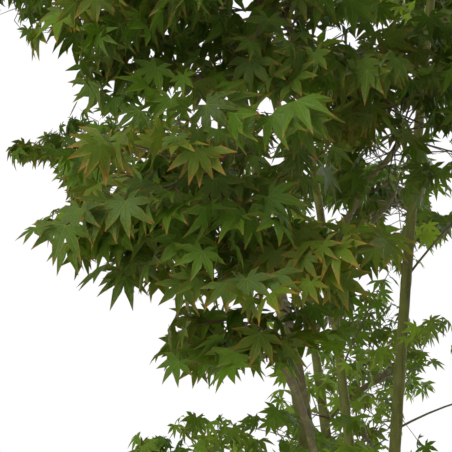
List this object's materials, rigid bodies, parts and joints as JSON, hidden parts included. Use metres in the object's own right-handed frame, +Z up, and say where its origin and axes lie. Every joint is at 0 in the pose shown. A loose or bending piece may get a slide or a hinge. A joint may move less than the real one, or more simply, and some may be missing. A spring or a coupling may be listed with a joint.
{
  "type": "japanese maple tree",
  "caption": "Upright japanese maple tree, rooted in the ground: a short flared trunk that parts into slender stems, with deeply lobed leaves in airy tiers.",
  "frame": {"origin": "middle of the flat cut under the trunk, at ground level", "axes": "+Z up; the picture looks along +Y, with +X to its right"},
  "size_m": [2.3429, 2.3358, 3.1604],
  "materials": {
    "bark": "smooth grey-green bark, finely mottled",
    "young_bark": "smooth red-brown to olive young bark",
    "leaf": "satin leaf, deep green with rust-coloured tips"
  },
  "bodies": {
    "root": {"bough_high_1": "young_bark", "bough_high_2": "young_bark", "bough_high_3": "young_bark", "bough_low_1": "young_bark", "bough_low_2": "young_bark", "bough_low_3": "young_bark", "bough_low_4": "young_bark", "bough_low_5": "young_bark", "bough_middle_1": "young_bark", "bough_middle_10": "young_bark", "bough_middle_2": "young_bark", "bough_middle_3": "young_bark", "bough_middle_4": "young_bark", "bough_middle_5": "young_bark", "bough_middle_6": "young_bark", "bough_middle_7": "young_bark", "bough_middle_8": "young_bark", "bough_middle_9": "young_bark", "bough_upper_1": "young_bark", "bough_upper_2": "young_bark", "bough_upper_3": "young_bark", "bough_upper_4": "young_bark", "bough_upper_5": "young_bark", "foliage_high_1": "leaf", "foliage_high_2": "leaf", "foliage_high_3": "leaf", "foliage_low_1": "leaf", "foliage_low_2": "leaf", "foliage_low_3": "leaf", "foliage_low_4": "leaf", "foliage_low_5": "leaf", "foliage_middle_1": "leaf", "foliage_middle_10": "leaf", "foliage_middle_2": "leaf", "foliage_middle_3": "leaf", "foliage_middle_4": "leaf", "foliage_middle_5": "leaf", "foliage_middle_6": "leaf", "foliage_middle_7": "leaf", "foliage_middle_8": "leaf", "foliage_middle_9": "leaf", "foliage_tip_back": "leaf", "foliage_tip_back_right": "leaf", "foliage_tip_front_left": "leaf", "foliage_tip_front_right": "leaf", "foliage_tip_leader": "leaf", "foliage_tip_left": "leaf", "foliage_upper_1": "leaf", "foliage_upper_2": "leaf", "foliage_upper_3": "leaf", "foliage_upper_4": "leaf", "foliage_upper_5": "leaf", "stem_back": "bark", "stem_back_right": "bark", "stem_front_left": "bark", "stem_front_right": "bark", "stem_leader": "bark", "stem_left": "bark", "trunk": "bark"}
  },
  "joints": []
}
